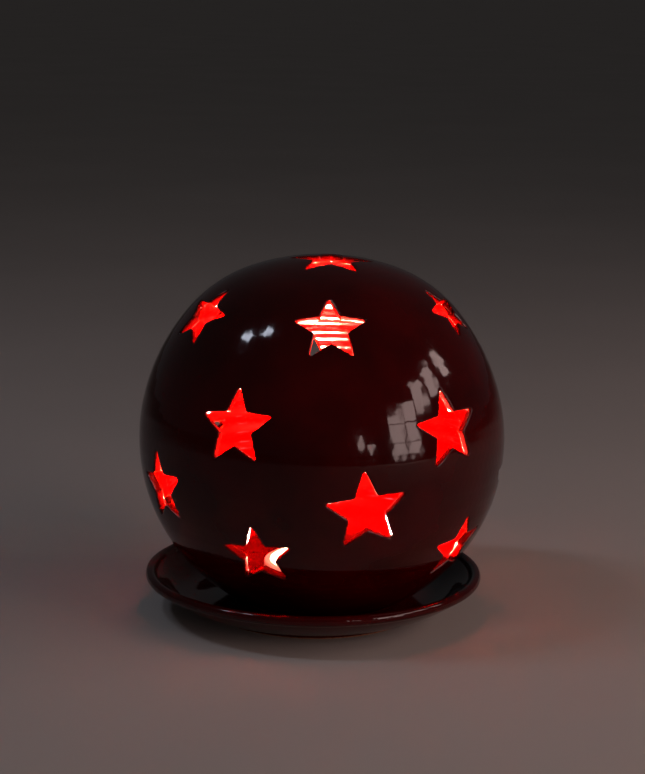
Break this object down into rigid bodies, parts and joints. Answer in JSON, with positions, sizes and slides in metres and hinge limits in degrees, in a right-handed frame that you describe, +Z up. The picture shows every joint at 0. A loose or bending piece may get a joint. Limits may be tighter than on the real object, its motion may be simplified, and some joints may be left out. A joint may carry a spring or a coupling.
{
  "type": "star lantern",
  "caption": "Glazed ceramic globe lantern pierced with stars, standing in a saucer over a battery push light.",
  "frame": {"origin": "on the table under the globe's axis, the middle of the whole object's footprint", "axes": "+Z up along the globe's axis, -Y towards the front of the globe, +X to the right seen from the front"},
  "size_m": [0.22, 0.22, 0.2172],
  "materials": {
    "red_glaze": "deep red glaze, glossy, inside and out",
    "white_abs": "fine moulded grain",
    "frosted_polycarbonate": "frosted inside, smooth outside",
    "spring_steel": "drawn wire",
    "metallised_plastic": "mirror coated",
    "led_epoxy": "clear cast",
    "board_laminate": "solder resist",
    "screw_steel": "zinc plated",
    "black_plastic": "moulded",
    "white_acetal": "smooth",
    "cell_sleeve": "printed foil sleeve, left plain",
    "contact_steel": "nickel plated"
  },
  "bodies": {
    "saucer": {"saucer": "red_glaze"},
    "globe": {"star_globe": "red_glaze"},
    "light": {"light_housing": "white_abs", "reflector": "metallised_plastic", "led_1": "led_epoxy", "led_2": "led_epoxy", "led_3": "led_epoxy", "circuit_board": "board_laminate", "board_screws": "screw_steel", "current_resistor": "black_plastic", "switch_body": "black_plastic", "battery_tray": "white_abs", "battery_1": "cell_sleeve", "battery_2": "cell_sleeve", "battery_3": "cell_sleeve", "positive_contact": "contact_steel", "negative_contact": "contact_steel", "link_contacts": "contact_steel", "lens_spring": "spring_steel"},
    "lens": {"push_lens": "frosted_polycarbonate"},
    "plunger": {"switch_plunger": "white_acetal"},
    "cover": {"battery_cover": "white_abs"}
  },
  "joints": [
    {"name": "globe_lift", "type": "slide", "parent": "saucer", "child": "globe", "axis": [0, 0, 1], "range_m": [0, 0.25]},
    {"name": "light_lift", "type": "slide", "parent": "saucer", "child": "light", "axis": [0, 0, 1], "range_m": [0, 0.06]},
    {"name": "lens_press", "type": "slide", "parent": "light", "child": "lens", "axis": [0, 0, -1], "range_m": [0, 0.0012], "stiffness_N_per_m": 500, "springref_m": -0.001, "deforming": ["lens_spring"]},
    {"name": "plunger_press", "type": "slide", "parent": "light", "child": "plunger", "axis": [0, 0, -1], "range_m": [0, 0.0012]},
    {"name": "cover_twist", "type": "hinge", "parent": "light", "child": "cover", "pos_m": [0, 0, 0.009], "axis": [0, 0, 1], "range_deg": [0, 20]}
  ],
  "couplings": [
    {"joint": "plunger_press", "follows": "lens_press", "ratio": 1}
  ]
}
